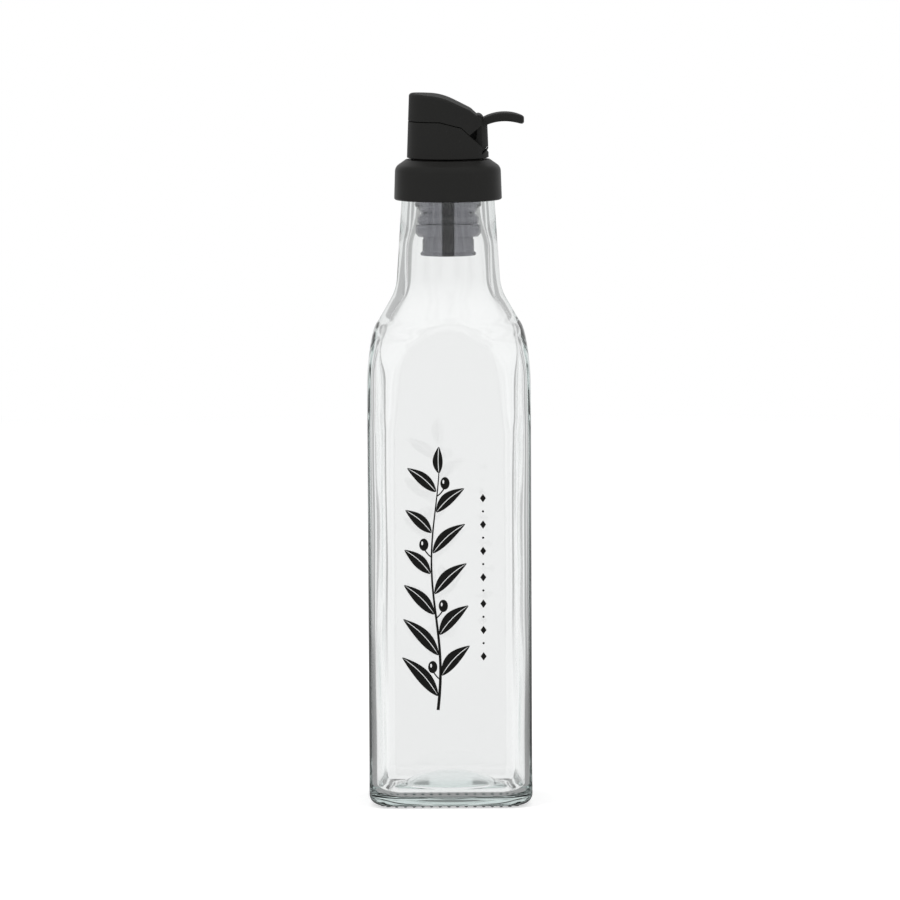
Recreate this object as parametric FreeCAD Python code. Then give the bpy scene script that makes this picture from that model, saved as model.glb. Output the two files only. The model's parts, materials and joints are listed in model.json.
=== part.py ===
"""Square glass oil bottle with a push-in stopper, a screw collar and a flip-lid pourer.

Frame: millimetres, +Z up, origin at the centre of the foot that the bottle stands on.
The pouring side faces -X, the thumb lever points along +X and the front panel faces -Y.
"""
import FreeCAD
import Part
import math
import os

# ---- glass bottle -----------------------------------------------------------------------
body_width = 62.0            # across the flats
corner_radius = 10.0         # upright corners, outside
heel_radius = 4.2            # where the sides turn under
bottle_height = 240.6
neck_length = 41.1           # lip down to where the neck ends in a hollow curve
neck_root_radius = 19.6      # outside radius there
neck_taper = 0.066           # radius lost for each millimetre up
neck_sweep_radius = 18.0     # hollow curve between shoulder and neck
shoulder_slope_deg = 30.0    # straight part of the shoulder, from the vertical
shoulder_dome_radius = 50.0  # round part of the shoulder above the corners
shoulder_drop = 80.6         # lip down to where the flats begin to lean in
shoulder_lean_radius = 83.0  # how gently the flats lean in
shoulder_lean_height = 26.0  # they are covered by the round shoulder above this
arch_blend = 0.4             # softness of the arched edge at its top
corner_blend = 1.8           # softness lower down, where it runs into the upright corners
wall = 2.8                   # body
neck_wall = 3.2
corner_thickening = 2.5      # the inside corner is rounder than the outside one
mouth_wall = 4.0             # glass round the narrow bore at the lip
throat_depth = 12.5          # how far down the narrow bore goes
throat_ease = 6.0            # height over which the bore widens below it
foot_thickness = 3.9         # glass over the bearing ring
inner_heel_radius = 5.5
dome_height = 7.3            # rise of the inside floor at its centre
dome_margin = 0.5            # level floor left round that rise
punt_height = 3.0            # hollow under the foot
foot_ring = 9.3              # width of the level ring it stands on

# ---- stopper and tube -------------------------------------------------------------------
stopper_clearance = 0.15
stopper_flange_inset = 1.1   # flange inside the lip's outer edge
stopper_flange = 1.2
stopper_reach = 19.8         # below the narrow bore
fin_inset = 0.25             # fins and barrel, each smaller than the plug in the narrow bore
upper_fin_inset = 0.95
waist_inset = 2.55
barrel_inset = 2.9
foot_lip_inset = 2.15
tube_radius = 2.3
tube_bore = 1.5
slip = 0.03                  # between parts that are pushed together

# ---- collar -----------------------------------------------------------------------------
collar_clearance = 0.95      # round the neck at its lower edge
collar_wall = 1.9
collar_draft = 0.4
collar_height = 15.25
collar_skirt = 11.2          # outer reach of the skirt below the lip
collar_shoulder_drop = 2.85  # height of the sloping shoulder
collar_ledge = 1.85          # hole's edge inside the pourer's radius
collar_edge = 0.7
collar_shoulder_round = 3.3

# ---- pourer body ------------------------------------------------------------------------
pourer_inset = 0.25          # pourer's lower edge inside the stopper's flange
pourer_taper = 0.036
pourer_flange = 1.2
pourer_groove = 0.15         # clear height above the collar
pourer_rise = 0.65           # height of the sloping underside
pourer_fit = 0.3             # round the spigot in the collar's hole
pourer_wall = 1.5
rim_height = 13.65           # lower edge to the level part of the seam
deck_drop = 3.4              # deck below the level part of the seam
seam_gap = 0.35
seam_slope_deg = 14.5
seam_slope_run = 11.3        # sloping part of the seam, ahead of the notch's apex
seam_knee_run = 3.1          # steeper part of it, ahead of the notch's apex
notch_depth = 7.25           # apex inside the pourer's back
notch_drop = 5.1             # apex below the level seam
notch_up_deg = 38.0
notch_down_deg = 43.0
spout_rise = 6.8             # mouth above the deck
spout_radius = 3.3
spout_flare = 1.0            # stouter by this at its foot
spout_bore = 1.9
spout_room = 2.7             # between the spout's mouth and the lid's inside

# ---- hinge ------------------------------------------------------------------------------
pin_radius = 1.0
pin_running = 0.06
knuckle_radius = 2.6
knuckle_half = 3.4
ear_thickness = 2.2
side_gap = 0.3
pivot_inset = 0.3            # pivot is this far behind and below the notch's apex
tongue_half = 8.0
tongue_reach = 4.8           # tongue below the pivot
tongue_chamfer = 0.8
swing_gap = 0.3

# ---- lid and lever ----------------------------------------------------------------------
lid_height = 10.25           # level seam to where the roof starts to bow
lid_wall = 1.5
lid_flat_length = 8.75       # from the pouring edge to where the roof starts to bow
lid_flat_deg = 4.5
lid_bow_radius = 24.0
lid_fall_deg = 26.0
lid_drop_deg = 41.0          # the roof drops to the ridge just ahead of the notch's apex
lid_drop_radius = 4.0
lid_edge = 1.2
ridge_radius = 1.9
ridge_offset = 3.45          # behind the notch's apex
ridge_height = 0.8           # centre of the ridge above the level seam
lever_length = 13.45         # tip behind the pourer's back
lever_half = 6.6
lever_root = 3.15            # how far it is rooted inside the back
lever_bow_radius = 17.5
lever_top = 3.35             # highest point above the level seam
lever_top_offset = 6.05      # highest point behind the back
lever_thickness = 3.2
lever_tip_radius = 5.2
lever_edge = 0.9

# ---- derived sizes ----------------------------------------------------------------------
half_width = body_width / 2
lip = bottle_height
neck_root_height = lip - neck_length
shoulder_start = lip - shoulder_drop
lip_radius = neck_root_radius - neck_length * neck_taper
throat_radius = lip_radius - mouth_wall
throat_low = lip - throat_depth
stopper_foot = throat_low - stopper_reach
flange_radius = lip_radius - stopper_flange_inset
flange_top = lip + stopper_flange
clamp_top = flange_top + pourer_flange
tube_top = clamp_top + 2 * pourer_flange
collar_bottom = lip - collar_skirt
collar_top = collar_bottom + collar_height
collar_inner = lip_radius + collar_skirt * neck_taper + collar_clearance
pourer_radius = flange_radius - pourer_inset
collar_hole_radius = pourer_radius - collar_ledge
pourer_bottom = collar_top + pourer_groove
pourer_corner = pourer_bottom + pourer_rise
seam_z = pourer_corner + rim_height
deck_z = seam_z - deck_drop
notch_x = pourer_radius - notch_depth
notch_z = seam_z - notch_drop
pivot_x = notch_x + pivot_inset
pivot_z = notch_z - pivot_inset
lid_top = seam_z + lid_height
far = 2 * body_width         # reach of cutting blocks, beyond every part
V = FreeCAD.Vector


def pourer_r(z):
    """Outer radius of the pourer and its lid at height z."""
    return pourer_radius - (z - pourer_corner) * pourer_taper


# ---- small helpers ----------------------------------------------------------------------
def turned(points):
    """Solid of revolution about Z from (radius, height) corners."""
    wire = Part.makePolygon([V(r, 0, z) for r, z in points] + [V(points[0][0], 0, points[0][1])])
    return Part.Face(wire).revolve(V(0, 0, 0), V(0, 0, 1), 360)


def prism(edges, y_half):
    """Edges of a closed outline in the XZ plane, made solid from -y_half to +y_half."""
    face = Part.Face(Part.Wire(edges))
    face.translate(V(0, -y_half, 0))
    return face.extrude(V(0, 2 * y_half, 0))


def polygon_prism(points, y_half):
    """Straight-sided outline of (x, z) corners in the XZ plane, made solid."""
    corners = [V(x, 0, z) for x, z in points]
    return prism(Part.makePolygon(corners + corners[:1]).Edges, y_half)


def rod(x, z, radius, y_half):
    """Round bar along Y."""
    return Part.makeCylinder(radius, 2 * y_half, V(x, -y_half, z), V(0, 1, 0))


def line(x0, z0, x1, z1):
    return Part.LineSegment(V(x0, 0, z0), V(x1, 0, z1)).toShape()


def rounded(solid, radius, choose):
    """Round the edges that choose accepts."""
    edges = [e for e in solid.Edges if choose(e)]
    return solid.makeFillet(radius, edges) if edges else solid


# ---- glass bottle -----------------------------------------------------------------------
def soft_min(a, b, blend):
    """The smaller of two values, rounded off where they are nearly equal."""
    overlap = max(blend - abs(a - b), 0.0)
    return min(a, b) - overlap * overlap / (4 * blend)


def flat_half_width(z):
    """Half the outer width across the flats: turned under at the heel, leaning in on top."""
    if z < heel_radius:
        return half_width - heel_radius + math.sqrt(heel_radius ** 2 - (heel_radius - z) ** 2)
    rise = min(max(z - shoulder_start, 0.0), shoulder_lean_height)
    return half_width - shoulder_lean_radius + math.sqrt(shoulder_lean_radius ** 2 - rise ** 2)


def round_radius(z):
    """Outer radius of the round neck and of the round shoulder below it."""
    slope = math.radians(shoulder_slope_deg)
    taper = math.atan(neck_taper)
    if z >= neck_root_height:
        return neck_root_radius - (z - neck_root_height) * neck_taper
    # the hollow curve is tangent to the neck at its root and ends on the straight slope
    centre_r = neck_root_radius + neck_sweep_radius * math.cos(taper)
    centre_z = neck_root_height + neck_sweep_radius * math.sin(taper)
    sweep_end_z = centre_z - neck_sweep_radius * math.sin(slope)
    sweep_end_r = centre_r - neck_sweep_radius * math.cos(slope)
    if z >= sweep_end_z:
        return centre_r - math.sqrt(neck_sweep_radius ** 2 - (centre_z - z) ** 2)
    # the dome ends upright on the outside of the corners
    widest = (half_width - corner_radius) * math.sqrt(2) + corner_radius + corner_blend
    dome_top_r = widest - shoulder_dome_radius * (1 - math.cos(slope))
    dome_top_z = sweep_end_z - (dome_top_r - sweep_end_r) / math.tan(slope)
    if z >= dome_top_z:
        return sweep_end_r + (sweep_end_z - z) * math.tan(slope)
    dome_centre_z = dome_top_z - shoulder_dome_radius * math.sin(slope)
    rise = max(z - dome_centre_z, 0.0)
    return widest - shoulder_dome_radius + math.sqrt(shoulder_dome_radius ** 2 - rise ** 2)


def square_radius(angle, half, corner):
    """Distance from the axis to a rounded square's outline in the direction of angle."""
    corner = min(corner, half)
    a = abs((angle + math.pi / 4) % (math.pi / 2) - math.pi / 4)
    straight = half - corner
    if half * math.tan(a) <= straight:
        return half / math.cos(a)
    along = straight * (math.cos(a) + math.sin(a))
    across = straight * (math.cos(a) - math.sin(a))
    return along + math.sqrt(max(corner ** 2 - across ** 2, 0.0))


def blend_at(z):
    """Softness of the edge between the flats and the round shoulder."""
    reach = 18.0
    low = min(max((shoulder_start + reach - z) / reach, 0.0), 1.0)
    return arch_blend + (corner_blend - arch_blend) * low


def directions():
    """Directions of the poles round the axis, closer together over the corners."""
    quarter = [0, 9, 18, 26, 32, 37, 41, 45, 49, 53, 58, 64, 72, 81]
    return [math.radians(90 * q + a) for q in range(4) for a in quarter]


def row(z, half, corner, radius):
    """Poles at height z on a rounded square held inside a circle."""
    points = []
    for angle in directions():
        reach = soft_min(square_radius(angle, half, corner), radius, blend_at(z))
        points.append(V(reach * math.cos(angle), reach * math.sin(angle), z))
    return points


def skinned(rows):
    """Solid inside a smooth skin over rows of poles, closed flat at the bottom and the top."""
    around = len(rows[0])
    up = len(rows)
    poles = [[line_of[i] for line_of in rows] for i in range(around)]
    surface = Part.BSplineSurface()
    surface.buildFromPolesMultsKnots(poles, [1] * (around + 1), [4] + [1] * (up - 4) + [4],
                                     list(range(around + 1)), list(range(up - 2)), True, False, 3, 3)
    side = surface.toShape()
    ends = [Part.Face(Part.Wire([e])) for e in side.Edges if e.BoundBox.ZLength < 0.001]
    shell = Part.Compound([side] + ends)
    shell.sewShape()
    solid = Part.Solid(shell.Shells[0])
    if solid.Volume < 0:
        solid.reverse()
    return solid


def steps(low, high, count):
    return [low + (high - low) * i / count for i in range(count)]


def arc_rise(radius):
    """Heights along a quarter round that starts level and ends upright."""
    return [radius * (1 - math.cos(math.radians(a))) for a in (0, 22.5, 45, 67.5, 90)]


def upper_heights():
    """Heights of the poles from the straight body to the foot of the neck."""
    low = shoulder_start - 16
    return steps(low - 8, low, 1) + steps(low, neck_root_height + 4, 17)


def outer_rows():
    low = shoulder_start - 24
    heights = arc_rise(heel_radius) + steps(heel_radius + 6, low, 3) + upper_heights()
    heights += steps(neck_root_height + 4, bottle_height, 3) + [bottle_height]
    return [row(z, flat_half_width(z), corner_radius, round_radius(z)) for z in heights]


def bore_radius(z):
    """Inside radius of the neck and round shoulder, narrowed at the mouth."""
    wide = round_radius(z) - neck_wall
    low = throat_low - throat_ease
    t = min(max((z - low) / throat_ease, 0.0), 1.0)
    return wide + (throat_radius - wide) * t * t * (3 - 2 * t)


def inner_half(z):
    """Half the inside width across the flats."""
    half = flat_half_width(max(z, heel_radius)) - wall
    low = max(foot_thickness + inner_heel_radius - z, 0.0)
    return half - inner_heel_radius + math.sqrt(max(inner_heel_radius ** 2 - low ** 2, 0.0))


def inner_rows():
    heel = [foot_thickness + rise for rise in arc_rise(inner_heel_radius)]
    low = throat_low - throat_ease
    body = steps(heel[-1] + 6, shoulder_start - 24, 3)
    neck = steps(neck_root_height + 4, low, 3) + steps(low, low + throat_ease, 4)
    heights = heel + body + upper_heights() + neck + steps(low + throat_ease, lip, 2) + [lip + 1]
    corner = corner_radius - wall + corner_thickening
    return [row(z, inner_half(z), corner, bore_radius(min(z, lip))) for z in heights]


def ball_cap(radius, height, top):
    """Sphere whose top stands height above the circle of the given radius."""
    size = (radius ** 2 + height ** 2) / (2 * height)
    return Part.makeSphere(size, V(0, 0, top - size), V(1, 0, 0), -90, 90, 360)


def glass_bottle():
    dome_radius = half_width - wall - inner_heel_radius - dome_margin
    inside = skinned(inner_rows()).cut(ball_cap(dome_radius, dome_height, foot_thickness + dome_height))
    punt = ball_cap(half_width - heel_radius - foot_ring, punt_height, punt_height)
    return skinned(outer_rows()).cut(inside).cut(punt)


# ---- stopper and tube -------------------------------------------------------------------
def stopper():
    """Plug in the narrow bore, a waist, two sealing fins and a barrel, with a flange on the lip."""
    bore = tube_radius + slip
    plug = throat_radius - stopper_clearance
    barrel = plug - barrel_inset
    waist = plug - waist_inset
    foot = stopper_foot
    low = throat_low
    outline = [(bore, flange_top), (flange_radius, flange_top), (flange_radius, lip), (plug, lip),
               (plug, low - 0.9), (waist, low - 3.5), (waist + 0.6, low - 4.2),
               (plug - upper_fin_inset, low - 4.9), (plug - upper_fin_inset, low - 6.4),
               (plug - upper_fin_inset - 0.7, low - 7.1), (plug - fin_inset, low - 7.6),
               (plug - fin_inset, low - 10.4), (plug - fin_inset - 1.3, low - 11.9),
               (barrel - 0.35, low - 12.2), (barrel - 0.35, low - 12.8), (barrel, low - 13.0),
               (barrel, foot + 1.5), (plug - foot_lip_inset, foot + 0.8),
               (plug - foot_lip_inset - 0.15, foot), (bore, foot)]
    return turned(outline)


def pour_tube():
    length = tube_top - stopper_foot
    tube = Part.makeCylinder(tube_radius, length, V(0, 0, stopper_foot))
    return tube.cut(Part.makeCylinder(tube_bore, length, V(0, 0, stopper_foot)))


# ---- collar -----------------------------------------------------------------------------
def collar():
    shoulder_z = collar_top - collar_shoulder_drop
    outer_r = collar_inner + collar_wall
    outer = turned([(0, collar_bottom), (outer_r, collar_bottom), (outer_r - collar_draft, shoulder_z),
                    (flange_radius + pourer_inset, collar_top), (0, collar_top)])

    def turned_shoulder(edge):
        return abs(edge.BoundBox.ZMin - shoulder_z) < 0.01 and edge.BoundBox.ZLength < 0.01

    def lower_edge(edge):
        return edge.BoundBox.ZMax < collar_bottom + 0.01 and edge.BoundBox.XLength > outer_r

    outer = rounded(outer, collar_shoulder_round, turned_shoulder)
    outer = rounded(outer, collar_edge, lower_edge)
    inner = turned([(0, collar_bottom - 1), (collar_inner, collar_bottom - 1),
                    (collar_inner - collar_draft, shoulder_z),
                    (flange_radius + collar_clearance, clamp_top), (0, clamp_top)])
    hole = Part.makeCylinder(collar_hole_radius, 2 * collar_height, V(0, 0, collar_bottom))
    return outer.cut(inner).cut(hole)


# ---- seam and notch, shared by the pourer body and the lid --------------------------------
def seam_points(gap):
    """Line of the seam from the pouring side to the apex of the notch, raised by gap."""
    level_end = notch_x - seam_slope_run
    knee = notch_x - seam_knee_run
    knee_z = seam_z - (knee - level_end) * math.tan(math.radians(seam_slope_deg))
    return [(-far, seam_z + gap), (level_end, seam_z + gap), (knee, knee_z + gap), (notch_x, notch_z + gap)]


def slab(x0, x1, z0, z1, y_half):
    """Block between two X values and two Z values."""
    return Part.makeBox(x1 - x0, 2 * y_half, z1 - z0, V(x0, -y_half, z0))


def pourer_blank():
    """Everything the pourer body is cut from: flange, spigot and tapered cup."""
    spigot = collar_hole_radius - pourer_fit
    return turned([(0, flange_top), (flange_radius, flange_top), (flange_radius, clamp_top),
                   (spigot, clamp_top), (spigot, pourer_bottom), (pourer_r(pourer_corner), pourer_corner),
                   (pourer_r(seam_z + 1), seam_z + 1), (0, seam_z + 1)])


def hinge_pocket():
    """Room for the lid's ears and for the swing of its tongue."""
    half = tongue_half + side_gap
    left = pivot_x - knuckle_radius - 2 * side_gap
    swing = math.hypot(tongue_r() - pivot_x, tongue_reach - tongue_chamfer) + swing_gap
    floor = max(pivot_z - swing, pourer_bottom + pourer_flange)
    wall_top = pivot_z - tongue_reach - swing_gap
    low_part = rod(pivot_x, pivot_z, swing, half).common(slab(left, far, floor, pivot_z, far))
    return low_part.fuse(slab(left, far, wall_top, seam_z + 5, half)), left, floor


def pourer_body():
    down = math.tan(math.radians(notch_down_deg))
    over = polygon_prism(seam_points(0.0) + [(far, notch_z - (far - notch_x) * down),
                                             (far, seam_z + far), (-far, seam_z + far)], far)
    pocket, left, floor = hinge_pocket()
    well = Part.makeCylinder(pourer_r(seam_z) - pourer_wall, 20, V(0, 0, deck_z))
    well = well.common(slab(-far, left - pourer_wall * 0.7, deck_z, seam_z + 5, far))
    body = pourer_blank().cut(over).cut(well).cut(pocket)
    # knuckle on its rib, drilled for the pin
    rib = slab(left - 0.5, pivot_x - 0.2, floor - 0.5, pivot_z, knuckle_half)
    drill = rod(pivot_x, pivot_z, pin_radius + slip, knuckle_half + side_gap)
    body = body.fuse(rib).fuse(rod(pivot_x, pivot_z, knuckle_radius, knuckle_half)).cut(drill)
    # spout leaning to the pouring side, its bore and the socket for the tube
    foot = V(0, 0, tube_top - pourer_flange)
    lean = pourer_r(lid_top) - lid_wall - spout_room - spout_radius
    way = V(-lean, 0, deck_z + spout_rise).sub(foot)
    stem = Part.makeCone(spout_radius + spout_flare, spout_radius, way.Length, foot, way)
    body = body.fuse(stem.common(slab(-far, far, pourer_corner + 2, lid_top, far)))
    body = body.cut(Part.makeCylinder(spout_bore, way.Length + 5, foot, way))
    socket = Part.makeCylinder(tube_radius + slip, tube_top - flange_top + 1, V(0, 0, flange_top - 1))
    return body.cut(socket).removeSplitter()


# ---- hinge ------------------------------------------------------------------------------
def tongue_r():
    """Outer radius of the tongue, flush with the pourer."""
    return pourer_r(pivot_z - tongue_reach)


def hinge_pin():
    return rod(pivot_x, pivot_z, pin_radius, knuckle_half + side_gap + ear_thickness)


# ---- lid and lever ----------------------------------------------------------------------
def lid_roof(drop):
    """Edges of the lid's top line, from the pouring side down past the hinge, lowered by drop."""
    flat = math.radians(lid_flat_deg)
    fall = math.radians(lid_fall_deg)
    steep = math.radians(lid_drop_deg)
    flat_end = lid_flat_length - pourer_radius
    slope_end_x = notch_x - 0.1
    bow_x = flat_end - lid_bow_radius * math.sin(flat)
    bow_z = lid_top - lid_bow_radius * math.cos(flat)
    slope_start_z = bow_z + lid_bow_radius * math.cos(fall)
    slope_start_x = bow_x + lid_bow_radius * math.sin(fall)
    slope_end_z = slope_start_z - (slope_end_x - slope_start_x) * math.tan(fall)
    drop_x = slope_end_x - lid_drop_radius * math.sin(fall)
    drop_z = slope_end_z - lid_drop_radius * math.cos(fall)

    def on(centre_x, centre_z, radius, angle):
        return V(centre_x + radius * math.sin(angle), 0, centre_z + radius * math.cos(angle))

    bow = lid_bow_radius - drop
    tight = lid_drop_radius - drop
    flat_stop = on(bow_x, bow_z, bow, flat)
    bow_end = on(bow_x, bow_z, bow, fall)
    slope_end = on(drop_x, drop_z, tight, fall)
    drop_end = on(drop_x, drop_z, tight, steep)
    start = flat_stop + V(-far * math.cos(flat), 0, far * math.sin(flat))
    end = drop_end + V(far * math.cos(steep), 0, -far * math.sin(steep))
    edges = [Part.LineSegment(start, flat_stop).toShape(),
             Part.Arc(flat_stop, on(bow_x, bow_z, bow, (flat + fall) / 2), bow_end).toShape(),
             Part.LineSegment(bow_end, slope_end).toShape(),
             Part.Arc(slope_end, on(drop_x, drop_z, tight, (fall + steep) / 2), drop_end).toShape(),
             Part.LineSegment(drop_end, end).toShape()]
    return edges, start, end


def under_roof(drop, low):
    """Everything below the roof line, lowered by drop, down to the height low."""
    edges, start, end = lid_roof(drop)
    base = min(low, end.z - 1)
    edges += [line(end.x, end.z, end.x, base), line(end.x, base, start.x, base),
              line(start.x, base, start.x, start.z)]
    return prism(edges, far).common(slab(-far, far, low, lid_top + far, far))


def cone_above(z0, z1, inset):
    """The pourer's tapered outline between two heights, smaller by inset."""
    return turned([(0, z0), (pourer_r(z0) - inset, z0), (pourer_r(z1) - inset, z1), (0, z1)])


def lever():
    """Arched thumb lever with a rounded tip."""
    top_x = pourer_radius + lever_top_offset
    top_z = seam_z + lever_top

    def height(x, peak):
        return peak - lever_bow_radius + math.sqrt(lever_bow_radius ** 2 - (x - top_x) ** 2)

    def bow(x0, x1, peak):
        mid = (x0 + x1) / 2
        return Part.Arc(V(x0, 0, height(x0, peak)), V(mid, 0, height(mid, peak)),
                        V(x1, 0, height(x1, peak))).toShape()

    root = pourer_radius - lever_root
    tip = pourer_radius + lever_length
    under_z = top_z - lever_thickness
    bar = prism([bow(root, tip, top_z), line(tip, height(tip, top_z), tip, height(tip, under_z)),
                 bow(tip, root, under_z), line(root, height(root, under_z), root, height(root, top_z))],
                lever_half)

    def tip_corner(edge):
        return edge.BoundBox.XMin > tip - 0.01 and edge.BoundBox.YLength < 0.01

    def rim(edge):
        box = edge.BoundBox
        return box.XMax > root + 0.01 and (box.XLength > 0.5 or box.YLength > 0.5)

    return rounded(rounded(bar, lever_tip_radius, tip_corner), lever_edge, rim)


def lid_shell(floor):
    """Hollow cap under the roof, cut off along the seam and the notch."""
    block = cone_above(floor - 2, lid_top + 8, 0).common(under_roof(0, floor - 2))

    def roof_edge(edge):
        box = edge.BoundBox
        return box.YLength > 0.5 and box.ZMin > seam_z - 3

    block = rounded(block, lid_edge, roof_edge)
    apex_x, apex_z = seam_points(seam_gap)[-1]
    ledge_x = math.sqrt(max(pourer_r(notch_z) ** 2 - tongue_half ** 2, 1.0))
    ledge_z = apex_z + (ledge_x - apex_x) * math.tan(math.radians(notch_up_deg))
    below = polygon_prism(seam_points(seam_gap) + [(ledge_x, ledge_z), (far, ledge_z + 0.4),
                                                   (far, floor - 4), (-far, floor - 4)], far)
    hollow = cone_above(floor - 3, lid_top + 8, lid_wall).common(under_roof(lid_wall, floor - 3))
    return block.cut(below).cut(hollow), ledge_z


def lid_tongue(floor, top):
    """Wall that closes the back between the cheeks, chamfered along its lower edge."""
    chamfer_top = floor + tongue_chamfer
    wall_ring = turned([(0, floor), (tongue_r() - tongue_chamfer, floor),
                        (pourer_r(chamfer_top), chamfer_top), (pourer_r(top), top), (0, top)])
    wall_ring = wall_ring.cut(cone_above(floor - 1, top + 1, lid_wall))
    return wall_ring.common(slab(pivot_x + 2, far, floor, top, tongue_half))


def flip_lid():
    floor = pivot_z - tongue_reach
    shell, ledge_z = lid_shell(floor)
    ridge = rod(notch_x + ridge_offset, seam_z + ridge_height, ridge_radius, pourer_radius)
    ridge = ridge.common(cone_above(seam_z - 4, lid_top, lid_edge * 0.3))
    shell = shell.fuse(lid_tongue(floor, ledge_z + lid_wall)).fuse(ridge).fuse(lever())
    # ears on either side of the knuckle, bored for the pin
    ear = slab(pivot_x - knuckle_radius, pivot_x + knuckle_radius, pivot_z, lid_top, far)
    ear = ear.common(under_roof(lid_wall * 0.5, pivot_z)).fuse(rod(pivot_x, pivot_z, knuckle_radius, far))
    inner = knuckle_half + side_gap
    for y0 in (inner, -inner - ear_thickness):
        plate = Part.makeBox(2 * far, ear_thickness, 2 * far, V(-far, y0, pivot_z - far))
        shell = shell.fuse(ear.common(plate))
    bore = rod(pivot_x, pivot_z, pin_radius + pin_running, inner + ear_thickness + 1)
    return shell.cut(bore).removeSplitter()


makers = {
    "glass_bottle": glass_bottle,
    "stopper": stopper,
    "pour_tube": pour_tube,
    "collar": collar,
    "pourer_body": pourer_body,
    "hinge_pin": hinge_pin,
    "flip_lid": flip_lid,
}

if __name__ == "__main__":
    os.makedirs("parts", exist_ok=True)
    for name, make in makers.items():
        solid = make()
        solid.exportStep(f"parts/{name}.step")
        print(name, "valid" if solid.isValid() else "NOT VALID", len(solid.Solids), "solid(s)",
              round(solid.Volume / 1000, 2), "cm3")
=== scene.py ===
"""Looks of a square glass oil bottle with a stopper, a black collar and a flip-lid pourer.

Settings and materials are in metres. Outlines and the named sizes that shape them are in millimetres, and
a piece is brought to metres once, when it is finished. +Z runs up the neck, -X is the pouring side, +X the
thumb lever, -Y the front panel.
"""

import json
import math

import bmesh
import bpy
from bpy.props import FloatProperty, FloatVectorProperty, IntProperty, PointerProperty
from mathutils import Matrix, Vector, noise


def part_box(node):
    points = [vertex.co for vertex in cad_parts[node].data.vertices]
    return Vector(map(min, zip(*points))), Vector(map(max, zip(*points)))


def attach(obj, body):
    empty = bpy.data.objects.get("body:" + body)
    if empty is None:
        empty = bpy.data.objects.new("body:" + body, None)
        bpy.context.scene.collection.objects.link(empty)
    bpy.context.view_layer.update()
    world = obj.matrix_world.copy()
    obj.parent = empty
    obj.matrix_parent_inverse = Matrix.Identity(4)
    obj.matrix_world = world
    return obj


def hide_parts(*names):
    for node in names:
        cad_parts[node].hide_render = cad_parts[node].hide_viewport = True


bl_info = {
    "name": "Glass oil bottle",
    "version": (1, 0, 0),
    "blender": (4, 5, 0),
    "location": "View3D > Sidebar > Oil bottle",
    "description": "Builds the glass, the printed sprig, the stopper, the cap and a plain studio",
    "category": "Add Mesh",
}

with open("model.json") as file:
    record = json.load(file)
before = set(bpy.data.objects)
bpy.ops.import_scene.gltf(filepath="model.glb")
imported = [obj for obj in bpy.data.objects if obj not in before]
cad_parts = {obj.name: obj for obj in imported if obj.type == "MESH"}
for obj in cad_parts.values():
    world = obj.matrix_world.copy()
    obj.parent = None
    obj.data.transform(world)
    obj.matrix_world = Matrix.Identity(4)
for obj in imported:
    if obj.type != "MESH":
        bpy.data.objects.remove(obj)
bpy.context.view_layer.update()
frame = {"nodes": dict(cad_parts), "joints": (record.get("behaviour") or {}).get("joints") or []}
BOTTLE = "bottle"
LID = "lid"
MM = 0.001
_, BOTTLE_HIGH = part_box("glass_bottle")
LIP = BOTTLE_HIGH.z / MM
HALF_WIDTH = BOTTLE_HIGH.x / MM


def length(name, description, default):
    """A size in metres, shown in the scene's own unit."""
    return FloatProperty(name=name, description=description, default=default, min=0.0, subtype="DISTANCE",
                         unit="LENGTH", precision=5)


def colour(name, description, default):
    return FloatVectorProperty(name=name, description=description, default=default, size=4, min=0.0,
                               max=1.0, subtype="COLOR")


def share(name, description, default, high=1.0):
    return FloatProperty(name=name, description=description, default=default, min=0.0, max=high,
                         subtype="FACTOR")


class GlassSettings(bpy.types.PropertyGroup):
    """Sizes and tint of the glass"""
    corner_radius: length("Corner radius", "Outside rounding of the upright corners", 0.010)
    heel_radius: length("Heel radius", "Rounding where the sides turn under", 0.0042)
    wall: length("Wall", "Thickness of the flat sides", 0.0028)
    neck_wall: length("Neck wall", "Thickness of the round neck", 0.0032)
    dome_height: length("Floor dome", "Rise of the inside floor at its centre", 0.0073)
    punt_height: length("Punt", "Depth of the hollow under the foot", 0.003)
    waviness: length("Waviness", "Unevenness of the blown inside wall", 0.00022)
    knurl_pitch: length("Knurl pitch", "Spacing of the bars under the foot", 0.0033)
    # Painted shade: how much darker the flat panels' glass is drawn than its corners.
    panel_painted_shade: share("Panel tone", "How much light a flat panel lets through", 0.905)
    # Painted shade: how dark the glass's outline is drawn low on the body.
    outline_painted_shade: share("Edge tone", "Darkness of the glass's outline low on the body", 0.03)
    # Painted shade: the clear glass bars under the foot are drawn dark.
    bar_painted_shade: colour("Bar tint", "Shade of the bars under the foot", (0.06, 0.085, 0.085, 1.0))
    tint: colour("Tint", "Colour light takes on in thick glass", (0.72, 0.81, 0.795, 1.0))
    tint_density: FloatProperty(name="Tint density", description="How soon thick glass takes on its tint",
                                default=22.0, min=0.0)


class PrintSettings(bpy.types.PropertyGroup):
    """The ornament printed on the front panel"""
    low: length("Lower end", "Height of the sprig's foot", 0.0379)
    high: length("Upper end", "Height of the sprig's tip", 0.1379)
    left: FloatProperty(name="Left edge", description="Sprig's left reach", default=-0.0181, unit="LENGTH")
    right: FloatProperty(name="Right edge", description="Sprig's right reach", default=0.0074, unit="LENGTH")
    row_x: FloatProperty(name="Row", description="Place of the fine row beside the sprig", default=0.0126,
                         unit="LENGTH")
    row_low: length("Row's lower end", "Where the fine row starts", 0.057)
    row_high: length("Row's upper end", "Where the fine row ends", 0.1197)
    leaves: IntProperty(name="Leaves", description="Leaves along the stem", default=11, min=1)
    ink: colour("Ink", "Colour of the print", (0.006, 0.006, 0.005, 1.0))


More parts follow.
